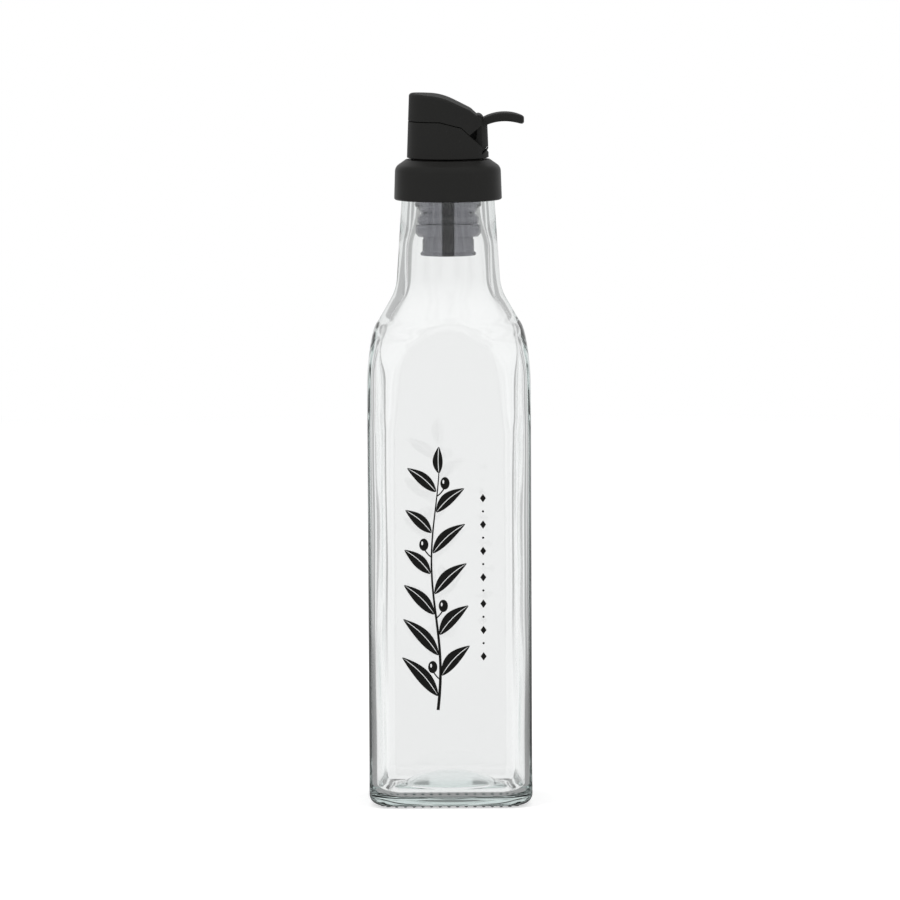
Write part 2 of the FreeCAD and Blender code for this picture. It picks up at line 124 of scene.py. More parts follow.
class CapSettings(bpy.types.PropertyGroup):
    """Colours of the plastic parts"""
    black: colour("Black plastic", "Pourer, lid and collar", (0.0152, 0.0152, 0.0142, 1.0))
    stopper: colour("Stopper", "Grey of the stopper", (0.235, 0.235, 0.257, 1.0))
    tube: colour("Tube", "Smoked plastic of the tube", (0.022, 0.022, 0.017, 1.0))
    tube_band: colour("Tube band", "Darker band round the tube", (0.012, 0.012, 0.01, 1.0))
    band_height: length("Band height", "Where the darker band is", 0.2222)
    stopper_clearness: share("Stopper clearness", "How much light the stopper lets through", 0.92)
    black_roughness: share("Roughness", "Of the black collar, the glossiest piece", 0.4)


class StageSettings(bpy.types.PropertyGroup):
    """Floor, light and camera"""
    camera_distance: length("Camera distance", "In front of the bottle's axis", 3.05)
    camera_height: length("Camera height", "Above the floor", 0.429)
    aim_height: length("Aim", "Height the camera looks at", 0.134)
    focal: FloatProperty(name="Focal length", description="In millimetres on a 36 mm sensor",
                         default=321.74)
    roll: FloatProperty(name="Roll", description="Turn of the camera about its view",
                        default=math.radians(0.29), subtype="ANGLE", unit="ROTATION")
    shift_x: FloatProperty(name="Shift X", description="Sideways shift of the frame", default=0.0008)
    shift_y: FloatProperty(name="Shift Y", description="Upright shift of the frame", default=-0.0008)
    floor_size: length("Floor", "Radius of the floor", 1.6)
    room: share("Room", "Brightness of the room", 0.62)
    # Painted shade on the glass's rims: light seen through a single wall is dimmed to these shares.
    rim_near: share("Rim near", "Brightness seen through a rim of glass close to the floor", 0.34)
    rim_far: share("Rim far", "Brightness seen through a rim of glass elsewhere", 0.93)
    floor_glow: share("Floor glow", "The floor's own light to a viewer", 0.4)
    floor_tone: share("Floor tone", "Colour of the paper", 0.86)
    mirrored: share("Mirrored in front", "Brightness of the room in reflections", 0.2)
    mirrored_back: share("Mirrored behind", "Brightness of the backdrop in reflections", 0.62)
    flag_width: FloatProperty(name="Flag width", description="Width of each dark flag round the bottle",
                              default=math.radians(13), subtype="ANGLE", unit="ROTATION")
    flag_tone: share("Flag tone", "Brightness of the flags seen across the bottle", 0.4)
    # Painted shade on the glass's rims: darker flags that only light through a single wall shows.
    rim_flag: FloatProperty(name="Rim flag", description="Turn of the flags that a rim of glass shows",
                            default=math.radians(10.5), subtype="ANGLE", unit="ROTATION")
    rim_flag_tone: share("Rim flag tone", "Brightness of the flags that a rim of glass shows", 0.55)
    flag_soft: FloatProperty(name="Flag softness", description="Half the blur of a flag's side",
                             default=math.radians(1.5), subtype="ANGLE", unit="ROTATION")
    side_lamp: FloatProperty(name="Side lamps", description="Power", default=5.0, min=0.0, unit="POWER")
    top_lamp: FloatProperty(name="Top lamp", description="Power", default=4.0, min=0.0, unit="POWER")


# ---- making pieces ------------------------------------------------------------------------
def finish_piece(name, bm, material, body, replaced=(), smooth_angle=40.0):
    """Turn a bmesh in millimetres into a finished object that rides on a body."""
    bmesh.ops.scale(bm, vec=Vector((MM, MM, MM)), verts=bm.verts)
    bmesh.ops.recalc_face_normals(bm, faces=bm.faces)
    mesh = bpy.data.meshes.new(name)
    bm.to_mesh(mesh)
    bm.free()
    mesh.materials.append(material)
    piece = bpy.data.objects.new(name, mesh)
    bpy.context.scene.collection.objects.link(piece)
    mesh.shade_smooth()
    mesh.set_sharp_from_angle(angle=math.radians(smooth_angle))
    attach(piece, body)
    if replaced:
        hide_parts(*replaced)
    return piece


def quarter(x, z, radius, start, end, count=6):
    """Points on an arc about (x, z), from one angle in degrees to another."""
    angles = [math.radians(start + (end - start) * i / count) for i in range(count + 1)]
    return [(x + radius * math.cos(a), z + radius * math.sin(a)) for a in angles]


# ---- shape of the glass, in millimetres ---------------------------------------------------
NECK_LENGTH = 41.1
NECK_ROOT_RADIUS = 19.6
NECK_TAPER = 0.066
NECK_SWEEP = 18.0
NECK_ROOT = LIP - NECK_LENGTH
NECK_FADE = 14.0
SHOULDER_SLOPE = math.radians(30.0)
SHOULDER_DROP = 80.6
SHOULDER_START = LIP - SHOULDER_DROP
STRAIGHT_TOP = SHOULDER_START - 22
LEAN_RADIUS = 83.0
LEAN_HEIGHT = 26.0
ARCH_HALF = 26.0
ARCH_HEIGHT = 27.0
ARCH_EASE = 7.0
ARCH_SAMPLES = 12
ARCH_SIDE = 6.0
ARCH_BLEND = 1.2
CORNER_BLEND = 5.0
BLEND_DROP = 18.0
MOUTH_WALL = 4.0
THROAT_DEPTH = 12.5
THROAT_EASE = 16.0
FOOT_THICKNESS = 3.9
INNER_HEEL = 5.5
CORNER_THICKENING = 0.5
UNCUT = 60.0  # radius of a circle that clears every rounded square
WAVE_RISE = 20.0
WAVE_END = 12.0
WAVE_FALL = 14.0
FOOT_RING = 11.8
PUNT_STEP = 1.1
PUNT_RINGS = (1.5, 4, 7, 9.5, 11.5, 13)
DOME_RINGS = (15, 12, 9, 6, 3, 1)
KNURL_HEIGHT = 0.55
KNURL_INSET = 1.2
KNURL_HALF = (1.5, 0.62)
INK_THICKNESS = 0.04

# How far in a panel leans where the mask of its painted shade ends, over how much it fades, and the neck's
# share of it.
PANEL_REACH = 0.4
PANEL_FADE = 0.3
NECK_SHARE = 0.5


def soft_min(a, b, blend):
    """The smaller of two values, rounded off where they are nearly equal."""
    overlap = max(blend - abs(a - b), 0.0)
    return min(a, b) - overlap * overlap / (4 * blend)


def steps(low, high, count):
    """Evenly spaced values from low, without high."""
    return [low + (high - low) * i / count for i in range(count)]


def spokes():
    """Directions round the axis, closer together over the corners."""
    quarter_turn = steps(0, 32, 12) + steps(32, 58, 22) + steps(58, 90, 12)
    return [math.radians(90 * q + a) for q in range(4) for a in quarter_turn]


class GlassShape:
    """Outer and inner outlines of the bottle at any height, in millimetres."""

    def __init__(self, settings):
        self.half = HALF_WIDTH - INK_THICKNESS
        self.corner = settings.corner_radius / MM
        self.heel = settings.heel_radius / MM
        self.wall = settings.wall / MM
        self.neck_wall = settings.neck_wall / MM
        self.dome = settings.dome_height / MM
        self.punt = settings.punt_height / MM
        self.wave = settings.waviness / MM
        self.angles = spokes()
        self.arch_z = self.arch_top()

    def flat_half(self, z):
        """Half the outer width across the flats, leaning in on top."""
        rise = min(max(z - SHOULDER_START, 0.0), LEAN_HEIGHT)
        return self.half - LEAN_RADIUS + math.sqrt(LEAN_RADIUS ** 2 - rise ** 2)

    def neck_radius(self, z):
        """Outer radius of the round neck, its sweep and the slope below it."""
        taper = math.atan(NECK_TAPER)
        if z >= NECK_ROOT:
            return NECK_ROOT_RADIUS - (z - NECK_ROOT) * NECK_TAPER
        centre_r = NECK_ROOT_RADIUS + NECK_SWEEP * math.cos(taper)
        centre_z = NECK_ROOT + NECK_SWEEP * math.sin(taper)
        sweep_end_z = centre_z - NECK_SWEEP * math.sin(SHOULDER_SLOPE)
        sweep_end_r = centre_r - NECK_SWEEP * math.cos(SHOULDER_SLOPE)
        if z >= sweep_end_z:
            return centre_r - math.sqrt(NECK_SWEEP ** 2 - (centre_z - z) ** 2)
        return sweep_end_r + (sweep_end_z - z) * math.tan(SHOULDER_SLOPE)

    def arch_top(self):
        """Height at which the slope below the neck meets the middle of a flat panel."""
        low, high = SHOULDER_START, NECK_ROOT
        for _ in range(40):
            middle = (low + high) / 2
            if self.neck_radius(middle) > self.flat_half(middle):
                low = middle
            else:
                high = middle
        return low

    def sharp_radius(self, z):
        """Radius of the neck, and below it the radius that cuts a round arch in each panel."""
        if z >= self.arch_z:
            return self.neck_radius(z)
        fall = self.arch_z - z
        share = 1 - min(fall / ARCH_HEIGHT, 1.0)
        across = ARCH_HALF * math.sqrt(1 - share * share)
        below = max(fall - ARCH_HEIGHT, 0.0)
        return math.hypot(self.flat_half(z), across) + (below / ARCH_SIDE) ** 2

    def round_radius(self, z):
        """Outer radius of the round neck and of the shoulder below it, eased where they meet."""
        if z > self.arch_z + ARCH_EASE or z < self.arch_z - ARCH_EASE:
            return self.sharp_radius(z)
        spread = ARCH_EASE - abs(z - self.arch_z)
        heights = (z + spread * (2 * i / ARCH_SAMPLES - 1) for i in range(ARCH_SAMPLES + 1))
        return sum(self.sharp_radius(h) for h in heights) / (ARCH_SAMPLES + 1)

    def bore(self, z):
        """Inside radius, narrowed at the mouth."""
        wide = self.round_radius(z) - self.neck_wall
        narrow = self.round_radius(LIP) - MOUTH_WALL
        t = min(max((z - LIP + THROAT_DEPTH + THROAT_EASE) / THROAT_EASE, 0.0), 1.0)
        return wide + (narrow - wide) * t * t * (3 - 2 * t)

    def reach(self, angle, half, corner):
        """Distance to a rounded square's outline in the direction of angle."""
        corner = min(corner, half)
        a = abs((angle + math.pi / 4) % (math.pi / 2) - math.pi / 4)
        straight = half - corner
        if half * math.tan(a) <= straight:
            return half / math.cos(a)
        along = straight * (math.cos(a) + math.sin(a))
        across = straight * (math.cos(a) - math.sin(a))
        return along + math.sqrt(max(corner ** 2 - across ** 2, 0.0))

    def ring(self, z, half, corner, radius, wave=0.0):
        """One ring of points: a rounded square held inside a circle, made a little uneven by wave."""
        low = min(max((SHOULDER_START + BLEND_DROP - z) / BLEND_DROP, 0.0), 1.0)
        blend = ARCH_BLEND + (CORNER_BLEND - ARCH_BLEND) * low
        points = []
        for angle in self.angles:
            r = soft_min(self.reach(angle, half, corner), radius, blend)
            if wave:
                spot = Vector((math.cos(angle) * 1.6, math.sin(angle) * 1.6, z * 0.022))
                r += wave * noise.noise(spot * 1.7)
            points.append(Vector((r * math.cos(angle), r * math.sin(angle), z)))
        return points

    # Mask for the painted shade on the flat panels.
    def panel(self, point):
        """1 on the flat panels, 0 on the upright corners and the arches, and a share of it on the neck."""
        drop = self.flat_half(point.z) - max(abs(point.x), abs(point.y))
        neck = min(max((point.z - NECK_ROOT) / NECK_FADE + 1, 0.0), 1.0) * NECK_SHARE
        return max(min(max((PANEL_REACH - drop) / PANEL_FADE, 0.0), 1.0), neck)

    def circle(self, radius, z):
        return [Vector((radius * math.cos(a), radius * math.sin(a), z)) for a in self.angles]

    def heights(self):
        """Heights from the straight body to the foot of the neck, shared by both walls."""
        return steps(STRAIGHT_TOP, SHOULDER_START, 14) + steps(SHOULDER_START, NECK_ROOT + 2, 40)

    def outer_rings(self):
        """From the middle of the punt out to the foot, up the outside and over the lip."""
        floor = KNURL_HEIGHT
        punt_r = self.half - self.heel - FOOT_RING
        dome_r, rise = punt_r - 0.9, self.punt - PUNT_STEP
        ball = (dome_r ** 2 + rise ** 2) / (2 * rise)
        rings = []
        for r in (*PUNT_RINGS, dome_r):
            rings.append(self.circle(r, floor + self.punt - ball + math.sqrt(ball ** 2 - r ** 2)))
        for grow, share_up in ((-0.5, 0.72), (-0.2, 0.25), (0.2, 0.0)):
            rings.append(self.circle(punt_r + grow, floor + PUNT_STEP * share_up))
        middle = self.half - self.heel - 3
        rings.append(self.ring(floor, middle, self.corner, UNCUT))
        for a in steps(0, 90, 9):
            turn = math.radians(a)
            z = floor + self.heel * (1 - math.cos(turn))
            half = self.half - self.heel * (1 - math.sin(turn))
            corner = self.corner - self.heel * (1 - math.sin(turn)) * 0.7
            rings.append(self.ring(z, half, corner, UNCUT))
        body = steps(floor + self.heel, STRAIGHT_TOP, 10) + self.heights()
        body += steps(NECK_ROOT + 2, LIP - 1, 12)
        rings += [self.ring(z, self.flat_half(z), self.corner, self.round_radius(z)) for z in body]
        lip_r = self.round_radius(LIP)
        rings += [self.circle(r, z) for r, z in quarter(lip_r - 1, LIP - 1, 1.0, 0, 90)]
        return rings

    def inner_rings(self):
        """From the mouth down the inside to the middle of the floor."""
        throat = self.bore(LIP)
        rings = [self.circle(r, z) for r, z in quarter(throat + 0.8, LIP - 0.8, 0.8, 90, 180)]
        heel_top = FOOT_THICKNESS + INNER_HEEL
        corner = self.corner - self.wall + CORNER_THICKENING
        throat_low, throat_top = LIP - THROAT_DEPTH - THROAT_EASE, LIP - THROAT_DEPTH
        neck = steps(NECK_ROOT + 2, throat_low, 6) + steps(throat_low, throat_top, 8) + [throat_top, LIP - 4]
        body = steps(heel_top, STRAIGHT_TOP, 24) + self.heights() + neck
        for z in reversed(body):
            fade = min(max((z - heel_top) / WAVE_RISE, 0.0), 1.0)
            fade *= min(max((NECK_ROOT + WAVE_END - z) / WAVE_FALL, 0.0), 1.0)
            half = self.flat_half(z) - self.wall
            rings.append(self.ring(z, half, corner, self.bore(z), self.wave * fade))
        inner = self.half - self.wall
        for a in reversed(steps(0, 90, 9)):
            turn = math.radians(a)
            z = FOOT_THICKNESS + INNER_HEEL * (1 - math.cos(turn))
            inset = INNER_HEEL * (1 - math.sin(turn))
            rings.append(self.ring(z, inner - inset, max(corner - inset * 0.5, 2), UNCUT))
        dome_r = inner - INNER_HEEL - 0.5
        ball = (dome_r ** 2 + self.dome ** 2) / (2 * self.dome)
        for r in (dome_r, dome_r - 1.5, dome_r - 4, *DOME_RINGS):
            z = FOOT_THICKNESS + self.dome - ball + math.sqrt(ball ** 2 - r ** 2)
            rings.append(self.circle(r, z))
        return rings


def skin(rings):
    """Closed skin through rings of points, extruded ring by ring from a capped circle."""
    bm = bmesh.new()
    count = len(rings[0])
    spoke = bm.verts.layers.int.new("spoke")
    bmesh.ops.create_circle(bm, cap_ends=True, segments=count, radius=1.0)
    for vert in bm.verts:
        angle = math.atan2(vert.co.y, vert.co.x) % (2 * math.pi)
        vert[spoke] = round(angle / (2 * math.pi) * count) % count
    for vert in bm.verts:
        vert.co = rings[0][vert[spoke]]
    rim = list(bm.edges)
    for ring in rings[1:]:
        grown = bmesh.ops.extrude_edge_only(bm, edges=rim)["geom"]
        for vert in (g for g in grown if isinstance(g, bmesh.types.BMVert)):
            vert.co = ring[vert[spoke]]
        rim = [g for g in grown if isinstance(g, bmesh.types.BMEdge) and all(
            v in grown for v in g.verts) and len(g.link_faces) == 1]
    bmesh.ops.contextual_create(bm, geom=rim)
    return bm


# ---- finishes -----------------------------------------------------------------------------
GLASS_IOR = 1.52
PLASTIC_IOR = 1.49
INK_IOR = 1.45

# Heights and facings, in metres and shares, between which the painted shade on the glass's outline changes
# its tone.
EDGE_FADE = (0.07, 0.16)
HEEL_FADE = (0.006, 0.026)
EDGE_FACING = (0.25, 0.70)

# How much rougher than the collar each black piece is.
POURER_DULL = 0.12
LID_DULL = 0.22
HINGE_DULL = 0.45


def group_socket(tree, name, way, default=None):
    socket = tree.interface.new_socket(name=name, in_out=way, socket_type="NodeSocketFloat")
    if default is not None:
        socket.default_value = default
    return socket


def moulded_grain():
    """Fine unevenness of moulded plastic: a height for bump and a mask for roughness."""
    name = "Moulded grain"
    if name in bpy.data.node_groups:
        return bpy.data.node_groups[name]
    tree = bpy.data.node_groups.new(name, "ShaderNodeTree")
    group_socket(tree, "Scale", "INPUT", 900.0)
    group_socket(tree, "Low", "INPUT", 0.25)
    group_socket(tree, "High", "INPUT", 0.4)
    group_socket(tree, "Height", "OUTPUT")
    group_socket(tree, "Roughness", "OUTPUT")
    nodes, links = tree.nodes, tree.links
    inside = nodes.new("NodeGroupInput")
    outside = nodes.new("NodeGroupOutput")
    place = nodes.new("ShaderNodeTexCoord")
    fine = nodes.new("ShaderNodeTexNoise")
    fine.inputs["Detail"].default_value = 3.0
    broad = nodes.new("ShaderNodeTexNoise")
    broad.inputs["Scale"].default_value = 70.0
    broad.inputs["Detail"].default_value = 2.0
    spread = nodes.new("ShaderNodeMapRange")
    links.new(place.outputs["Object"], fine.inputs["Vector"])
    links.new(place.outputs["Object"], broad.inputs["Vector"])
    links.new(inside.outputs["Scale"], fine.inputs["Scale"])
    links.new(fine.outputs["Fac"], outside.inputs["Height"])
    links.new(broad.outputs["Fac"], spread.inputs["Value"])
    links.new(inside.outputs["Low"], spread.inputs["To Min"])
    links.new(inside.outputs["High"], spread.inputs["To Max"])
    links.new(spread.outputs["Result"], outside.inputs["Roughness"])
    return tree


def material(name):
    """Empty material and its Principled shader."""
    made = bpy.data.materials.new(name)
    made.use_nodes = True
    return made, made.node_tree, made.node_tree.nodes["Principled BSDF"]


def grained(tree, shader, scale, low, high, bump):
    """Give a shader the moulded grain, in its roughness and its bump."""
    grain = tree.nodes.new("ShaderNodeGroup")
    grain.node_tree = moulded_grain()
    grain.inputs["Scale"].default_value = scale
    grain.inputs["Low"].default_value = low
    grain.inputs["High"].default_value = high
    relief = tree.nodes.new("ShaderNodeBump")
    relief.inputs["Strength"].default_value = bump
    relief.inputs["Distance"].default_value = 0.0001
    tree.links.new(grain.outputs["Height"], relief.inputs["Height"])
    tree.links.new(relief.outputs["Normal"], shader.inputs["Normal"])
    tree.links.new(grain.outputs["Roughness"], shader.inputs["Roughness"])


def black_plastic(name, settings, dull=0.0):
    made, tree, shader = material(name)
    shader.inputs["Base Color"].default_value = settings.black
    shader.inputs["IOR"].default_value = PLASTIC_IOR
    rough = settings.black_roughness + dull
    grained(tree, shader, 1400.0, rough - 0.05, rough + 0.07, 0.12)
    return made


def refinish(finishes):
    """Give carried-over pieces their better materials."""
    for node, finish in finishes.items():
        slots = frame["nodes"][node].data.materials
        slots.clear()
        slots.append(finish)


def value_map(tree, value, low, high, start, stop):
    """Smooth change from start to stop while a value goes from low to high."""
    node = tree.nodes.new("ShaderNodeMapRange")
    node.interpolation_type = "SMOOTHSTEP"
    for name, number in (("From Min", low), ("From Max", high), ("To Min", start), ("To Max", stop)):
        if isinstance(number, bpy.types.NodeSocket):
            tree.links.new(number, node.inputs[name])
        else:
            node.inputs[name].default_value = number
    tree.links.new(value, node.inputs["Value"])
    return node.outputs["Result"]


def reckon(tree, operation, *values):
    """One Math node; values are numbers or sockets."""
    node = tree.nodes.new("ShaderNodeMath")
    node.operation = operation
    for socket, value in zip(node.inputs, values):
        if isinstance(value, bpy.types.NodeSocket):
            tree.links.new(value, socket)
        else:
            socket.default_value = value
    return node.outputs[0]


def rest_of(tree, value):
    """One minus a value."""
    return reckon(tree, "SUBTRACT", 1.0, value)


def clear_glass(name, settings):
    made, tree, shader = material(name)
    shader.inputs["Roughness"].default_value = 0.0
    shader.inputs["IOR"].default_value = GLASS_IOR
    shader.inputs["Transmission Weight"].default_value = 1.0
    # Painted shade: the flat panels' base colour is drawn darker through the panel mask.
    panel = tree.nodes.new("ShaderNodeAttribute")
    panel.attribute_name = "panel"
    flat = value_map(tree, panel.outputs["Fac"], 0.0, 1.0, 1.0, settings.panel_painted_shade)
    # Painted shade: for camera rays the base colour darkens where the glass turns away from the view, low on
    # the body above the heel, drawing a dark outline.
    place = tree.nodes.new("ShaderNodeTexCoord")
    height = tree.nodes.new("ShaderNodeSeparateXYZ")
    tree.links.new(place.outputs["Object"], height.inputs[0])
    facing = tree.nodes.new("ShaderNodeLayerWeight")
    facing.inputs["Blend"].default_value = 0.5
    above = value_map(tree, height.outputs["Z"], *EDGE_FADE, settings.outline_painted_shade, 1.0)
    heel = value_map(tree, height.outputs["Z"], *HEEL_FADE, 1.0, settings.outline_painted_shade)
    edge = reckon(tree, "MAXIMUM", above, heel)
    line = value_map(tree, facing.outputs["Facing"], *EDGE_FACING, 1.0, edge)
    path = tree.nodes.new("ShaderNodeLightPath")
    painted_outline = rest_of(tree, reckon(tree, "MULTIPLY", path.outputs["Is Camera Ray"], rest_of(tree, line)))
    tree.links.new(reckon(tree, "MULTIPLY", flat, painted_outline), shader.inputs["Base Color"])
    absorb = tree.nodes.new("ShaderNodeVolumeAbsorption")
    absorb.inputs["Color"].default_value = settings.tint
    absorb.inputs["Density"].default_value = settings.tint_density
    tree.links.new(absorb.outputs["Volume"], tree.nodes["Material Output"].inputs["Volume"])
    return made


# ---- operators ----------------------------------------------------------------------------
class OILBOTTLE_OT_glass(bpy.types.Operator):
    """Blow the glass bottle and set the bars under its foot"""
    bl_idname = "oilbottle.glass"
    bl_label = "Glass bottle"

    def execute(self, context):
        settings = context.scene.oil_glass
        shape = GlassShape(settings)
        glass = clear_glass("bottle glass", settings)
        bm = skin(shape.outer_rings() + shape.inner_rings())
        # Mask of the painted shade on the flat panels.
        panel = bm.verts.layers.float.new("panel")
        for vert in bm.verts:
            vert[panel] = shape.panel(vert.co)
        finish_piece("bottle_body", bm, glass, BOTTLE, ["glass_bottle"], 60)
        # Painted shade: the foot bars are glass drawn dark teal.
        bars, tree, shader = material("foot bar glass")
        shader.inputs["Base Color"].default_value = settings.bar_painted_shade
        shader.inputs["IOR"].default_value = GLASS_IOR
        shader.inputs["Transmission Weight"].default_value = 1.0
        grained(tree, shader, 1500.0, 0.02, 0.1, 0.1)
        finish_piece("foot_knurls", self.knurls(shape, settings), bars, BOTTLE)
        return {"FINISHED"}

    def knurls(self, shape, settings):
        """Short rounded bars that point outwards, evenly spaced round the foot."""
        bm = bmesh.new()
        half = shape.half - shape.heel - KNURL_INSET
        corner = shape.corner - shape.heel
        straight = 2 * (half - corner)
        turn = math.pi / 2 * corner
        around = 4 * (straight + turn)
        count = round(around / (settings.knurl_pitch / MM))
        for i in range(count):
            x, y, facing = self.on_square(i * around / count, half, corner, straight, turn)
            place = Matrix.Translation((x, y, KNURL_HEIGHT * 0.52)) @ Matrix.Rotation(facing, 4, "Z")
            size = Matrix.Diagonal((*KNURL_HALF, KNURL_HEIGHT * 0.5, 1.0))
            bmesh.ops.create_icosphere(bm, subdivisions=2, radius=1.0, matrix=place @ size)
        return bm

    def on_square(self, along, half, corner, straight, turn):
        """Place and outward direction at a distance along a rounded square."""
        side = int(along // (straight + turn))
        rest = along - side * (straight + turn)
        base = side * math.pi / 2
        if rest < straight:
            point = Vector((half, rest - straight / 2, 0))
            facing = 0.0
        else:
            facing = (rest - straight) / corner
            point = Vector((half - corner + corner * math.cos(facing),
                            straight / 2 + corner * math.sin(facing), 0))
        point.rotate(Matrix.Rotation(base, 3, "Z"))
        return point.x, point.y, facing + base


# ---- print, in millimetres ----------------------------------------------------------------
VEIN_HALF = 0.13
NARROW_SIDE = 0.82
LEAFY = 0.9  # share of the height that bears side leaves
ROW_COUNT = 13
LOZENGE = (1.15, 1.6)
DOT_RADIUS = 0.42
OLIVE_HALF = (1.75, 2.35)
OLIVE_PLACE = (2.9, 3.2)
SHINE_HALF = (0.34, 0.72)
SHINE_PLACE = (-0.62, 0.55)


class OILBOTTLE_OT_print(bpy.types.Operator):
    """Print a leafy sprig and a fine row of lozenges on the front panel"""
    bl_idname = "oilbottle.print"
    bl_label = "Printed sprig"

    def execute(self, context):
        settings = context.scene.oil_print
        ink, tree, shader = material("print ink")
        shader.inputs["Base Color"].default_value = settings.ink
        shader.inputs["IOR"].default_value = INK_IOR
        grained(tree, shader, 2600.0, 0.3, 0.42, 0.08)
        finish_piece("printed_sprig", self.sprig(settings), ink, BOTTLE, (), 30)
        finish_piece("printed_row", self.row(settings), ink, BOTTLE, (), 30)
        return {"FINISHED"}

    def blade(self, bm, root, angle, size, width, bend, side):
        """Half a leaf as a flat shape: straight-ish along its vein, bowed outwards on its other edge."""
        made = bmesh.ops.create_circle(bm, cap_ends=True, segments=40, radius=1.0)["verts"]
        for vert in made:
            t = (vert.co.x + 1) / 2
            fat = max(vert.co.y, 0.0)
            belly = math.sin(math.pi * t ** 0.85) ** 0.9
            curve = bend * size * math.sin(math.pi * t) * 0.5
            if vert.co.y > 0:
                bulge = fat / max(math.sqrt(1 - vert.co.x ** 2), 1e-6)
                across = VEIN_HALF + (width - VEIN_HALF) * belly * bulge
            else:
                across = VEIN_HALF * min(1.0, 6 * t, 6 * (1 - t))
            vert.co = Vector((t * size, side * across + curve, 0))
        turn = Matrix.Translation((root[0], root[1], 0)) @ Matrix.Rotation(angle, 4, "Z")
        bmesh.ops.transform(bm, matrix=turn, verts=made)

    def leaf(self, bm, root, angle, size, width, bend):
        for side in (-1, 1):
            self.blade(bm, root, angle, size, width * (1.0 if side > 0 else NARROW_SIDE), bend, side)

    def ribbon(self, bm, points, widths):
        """Flat strip along points, with a width at each."""
        sides = []
        for i, point in enumerate(points):
            ahead = points[min(i + 1, len(points) - 1)]
            behind = points[max(i - 1, 0)]
            across = Vector((-(ahead[1] - behind[1]), ahead[0] - behind[0], 0)).normalized() * widths[i] / 2
            centre = Vector((point[0], point[1], 0))
            sides.append((centre - across, centre + across))
        edge = bm.edges.new([bm.verts.new(spot) for spot in sides[0]])
        for last, ends in zip(sides, sides[1:]):
            grown = bmesh.ops.extrude_edge_only(bm, edges=[edge])["geom"]
            fresh = [g for g in grown if isinstance(g, bmesh.types.BMVert)]
            edge = next(g for g in grown if isinstance(g, bmesh.types.BMEdge)
                        and all(v in fresh for v in g.verts))
            for vert in fresh:
                nearer = (vert.co - last[0]).length > (vert.co - last[1]).length
                vert.co = ends[nearer]

    def stem_x(self, t, middle):
        return middle + 1.6 * math.sin(2.2 * math.pi * t + 0.4)

    def sprig(self, settings):
        bm = bmesh.new()
        low, high = settings.low / MM, settings.high / MM
        left, right = settings.left / MM, settings.right / MM
        middle = (left + right) / 2
        reach = (right - left) / 2
        tall = high - low
        count = 60
        line = [(self.stem_x(i / count, middle), low + tall * LEAFY * i / count)
                for i in range(count + 1)]
        self.ribbon(bm, line, [1.15 - 0.75 * i / count for i in range(count + 1)])
        for i in range(settings.leaves):
            t = (i + 0.7) / (settings.leaves + 0.6) * LEAFY
            side = 1 if i % 2 else -1
            root = (self.stem_x(t / LEAFY, middle), low + tall * t)
            slant = math.radians(48 - 10 * t)
            aside = abs(root[0] - middle) * side * (1 if root[0] > middle else -1)
            size = (reach - aside) / math.cos(slant)
            size *= 0.98 - 0.22 * t
            angle = slant if side > 0 else math.pi - slant
            self.leaf(bm, (root[0] + side * 0.5, root[1]), angle, size, 2.9 - 0.5 * t, 0.12 * side)
            if i % 3 == 1:
                centre = (root[0] - side * OLIVE_PLACE[0], root[1] + OLIVE_PLACE[1])
                self.olive(bm, centre, root, side)
        tip = line[-1]
        self.leaf(bm, tip, math.radians(90), high - tip[1], 2.1, 0.05)
        return self.raised(bm)

    def olive(self, bm, centre, root, side):
        """Oval fruit on a thin stalk, with a small oval left bare as its shine."""
        edges = set()
        for size, place in ((OLIVE_HALF, (0, 0)), (SHINE_HALF, SHINE_PLACE)):
            made = bmesh.ops.create_circle(bm, segments=36, radius=1.0)["verts"]
            bmesh.ops.scale(bm, vec=Vector((*size, 1)), verts=made)
            spot = Vector((centre[0] + place[0], centre[1] + place[1], 0))
            bmesh.ops.translate(bm, vec=spot, verts=made)
            edges.update(edge for vert in made for edge in vert.link_edges)
        bmesh.ops.bridge_loops(bm, edges=list(edges))
        start = Vector((root[0], root[1] - 1.6, 0))
        stop = Vector((centre[0] + side * 0.4, centre[1] - 2.1, 0))
        line = []
        for i in range(9):
            point = start.lerp(stop, i / 8) + Vector((0, -0.3 * math.sin(math.pi * i / 8), 0))
            line.append((point.x, point.y))
        self.ribbon(bm, line, [0.5] * 9)

    def row(self, settings):
        """Fine row of lozenges and dots."""
        bm = bmesh.new()
        low, high = settings.row_low / MM, settings.row_high / MM
        x = settings.row_x / MM
        for i in range(ROW_COUNT):
            z = low + 1.3 + (high - low - 2.6) * i / (ROW_COUNT - 1)
            if i % 2:
                made = bmesh.ops.create_circle(bm, cap_ends=True, segments=20, radius=DOT_RADIUS)["verts"]
            else:
                made = bmesh.ops.create_circle(bm, cap_ends=True, segments=4, radius=1.0)["verts"]
                bmesh.ops.scale(bm, vec=Vector((*LOZENGE, 1)), verts=made)
            bmesh.ops.translate(bm, vec=Vector((x, z, 0)), verts=made)
        return self.raised(bm)

    def raised(self, bm):
        """Stand the flat print up on the front panel and give it the thickness of the ink."""
        bmesh.ops.recalc_face_normals(bm, faces=bm.faces)
        faces = list(bm.faces)
        grown = bmesh.ops.extrude_face_region(bm, geom=faces)["geom"]
        top = [g for g in grown if isinstance(g, bmesh.types.BMVert)]
        bmesh.ops.translate(bm, vec=Vector((0, 0, INK_THICKNESS)), verts=top)
        stand = Matrix.Rotation(math.radians(90), 4, "X")
        bmesh.ops.transform(bm, matrix=stand, verts=bm.verts)
        bmesh.ops.translate(bm, vec=Vector((0, INK_THICKNESS - HALF_WIDTH, 0)), verts=bm.verts)
        return bm


